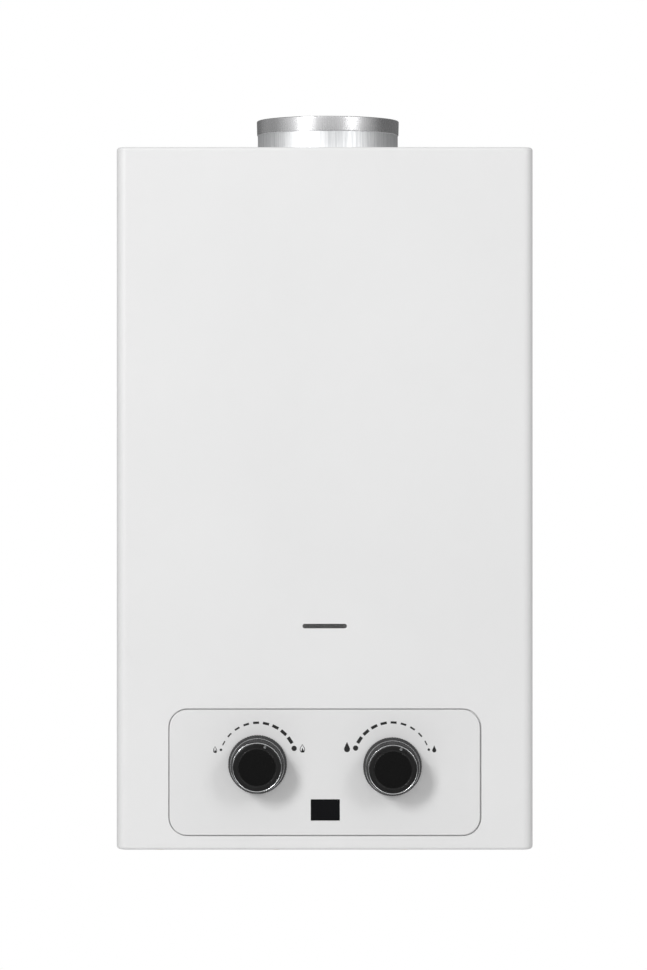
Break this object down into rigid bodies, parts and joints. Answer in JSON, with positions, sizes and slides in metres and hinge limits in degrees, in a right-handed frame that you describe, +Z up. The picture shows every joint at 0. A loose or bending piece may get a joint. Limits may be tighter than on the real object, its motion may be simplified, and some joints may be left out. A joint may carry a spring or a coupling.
{
  "type": "tankless gas water heater",
  "caption": "Wall-hung tankless gas water heater: white casing, flue collar, gas and water knobs, burner, copper exchanger, valves and battery igniter inside.",
  "frame": {"origin": "centre of the four wall screw holes, on the wall plane at the mid-height of the casing", "axes": "+X to the right seen from the front, +Y into the wall, +Z up"},
  "size_m": [0.3156, 0.1855, 0.5658],
  "materials": {
    "white_enamel": "smooth white powder coat, slightly glossy",
    "galvanised_sheet": "bright galvanised sheet, fine drawn grain",
    "zinc_screw": "zinc plated",
    "panel_plastic": "satin white moulded plastic",
    "smoked_window": "glossy smoked window",
    "circuit_board": "green board",
    "dark_mesh": "dark woven mesh",
    "sight_glass": "clear glass",
    "black_plastic": "satin black moulded plastic",
    "gloss_black": "glossy black",
    "chrome_trim": "bright chrome plated",
    "brass_part": "machined brass",
    "copper_sheet": "copper, lightly oxidised",
    "burner_steel": "stainless steel",
    "ceramic_white": "white ceramic",
    "cast_aluminium": "die-cast aluminium",
    "black_rubber": "black rubber",
    "solenoid_steel": "plated steel can",
    "grey_plastic": "grey moulded plastic",
    "cell_jacket": "plain dark cell jacket",
    "red_lead": "red silicone lead"
  },
  "bodies": {
    "casing": {"front_cover": "white_enamel", "back_plate": "galvanised_sheet", "bottom_plate": "white_enamel", "cover_screws": "zinc_screw", "control_panel": "panel_plastic", "stud_nuts": "zinc_screw", "display_window": "smoked_window", "display_board": "circuit_board", "sight_mesh": "dark_mesh", "sight_glass": "sight_glass", "stem_nuts": "brass_part", "flue_collar": "galvanised_sheet", "exhaust_hood": "galvanised_sheet", "flue_thermostat": "black_plastic", "burner_frame": "galvanised_sheet", "burner_bars": "burner_steel", "electrode_ceramics": "ceramic_white", "electrode_tips": "burner_steel", "gas_manifold": "cast_aluminium", "gas_nozzles": "brass_part", "combustion_chamber": "copper_sheet", "fin_pack": "copper_sheet", "exchanger_tube": "copper_sheet", "chamber_brackets": "galvanised_sheet", "gas_valve_body": "cast_aluminium", "rod_gland": "brass_part", "valve_end_plug": "brass_part", "water_valve_body": "brass_part", "membrane": "black_rubber", "membrane_cover": "brass_part", "valve_spring": "zinc_screw", "gas_solenoid": "solenoid_steel", "micro_switch": "black_plastic", "gas_inlet_fitting": "brass_part", "cold_inlet_fitting": "brass_part", "hot_outlet_fitting": "brass_part", "cold_pipe": "copper_sheet", "hot_pipe": "copper_sheet", "union_nuts": "brass_part", "battery_box": "grey_plastic", "battery_cells": "cell_jacket", "battery_contacts": "zinc_screw", "igniter_box": "black_plastic", "inner_screws": "zinc_screw", "ignition_leads": "red_lead", "control_leads": "black_rubber"},
    "gas_knob": {"gas_knob_body": "black_plastic", "gas_knob_ring": "chrome_trim", "gas_knob_cap": "gloss_black", "gas_stem": "brass_part"},
    "water_knob": {"water_knob_body": "black_plastic", "water_knob_ring": "chrome_trim", "water_knob_cap": "gloss_black", "water_stem": "brass_part"},
    "flow_link": {"push_rod": "brass_part", "valve_disc": "black_rubber"},
    "switch_arm": {"switch_lever": "zinc_screw"},
    "gas_plunger": {"solenoid_plunger": "solenoid_steel"},
    "door": {"battery_door": "grey_plastic"},
    "drain": {"drain_plug": "black_plastic"}
  },
  "joints": [
    {"name": "gas_knob_turn", "type": "hinge", "parent": "casing", "child": "gas_knob", "pos_m": [-0.0502, -0.0981, -0.1988], "axis": [0, 1, 0], "range_deg": [-93, 49]},
    {"name": "water_knob_turn", "type": "hinge", "parent": "casing", "child": "water_knob", "pos_m": [0.0507, -0.0981, -0.2004], "axis": [0, 1, 0], "range_deg": [-91, 52]},
    {"name": "flow_link_slide", "type": "slide", "parent": "casing", "child": "flow_link", "axis": [-1, 0, 0], "range_m": [0, 0.005], "stiffness_N_per_m": 300, "deforming": ["valve_spring"]},
    {"name": "switch_arm_swing", "type": "hinge", "parent": "casing", "child": "switch_arm", "pos_m": [-0.0029, -0.06, -0.183], "axis": [0, 1, 0], "range_deg": [0, 27]},
    {"name": "gas_plunger_slide", "type": "slide", "parent": "casing", "child": "gas_plunger", "axis": [-1, 0, 0], "range_m": [0, 0.003], "stiffness_N_per_m": 200},
    {"name": "battery_door_hinge", "type": "hinge", "parent": "casing", "child": "door", "pos_m": [0.142, -0.0816, -0.2639], "axis": [0, -1, 0], "range_deg": [0, 95]},
    {"name": "drain_plug_turn", "type": "hinge", "parent": "casing", "child": "drain", "pos_m": [0.036, -0.06, -0.263], "axis": [0, 0, 1], "range_deg": [0, 350]}
  ],
  "couplings": [
    {"joint": "switch_arm_swing", "follows": "flow_link_slide", "rad_per_m": 90.757}
  ]
}
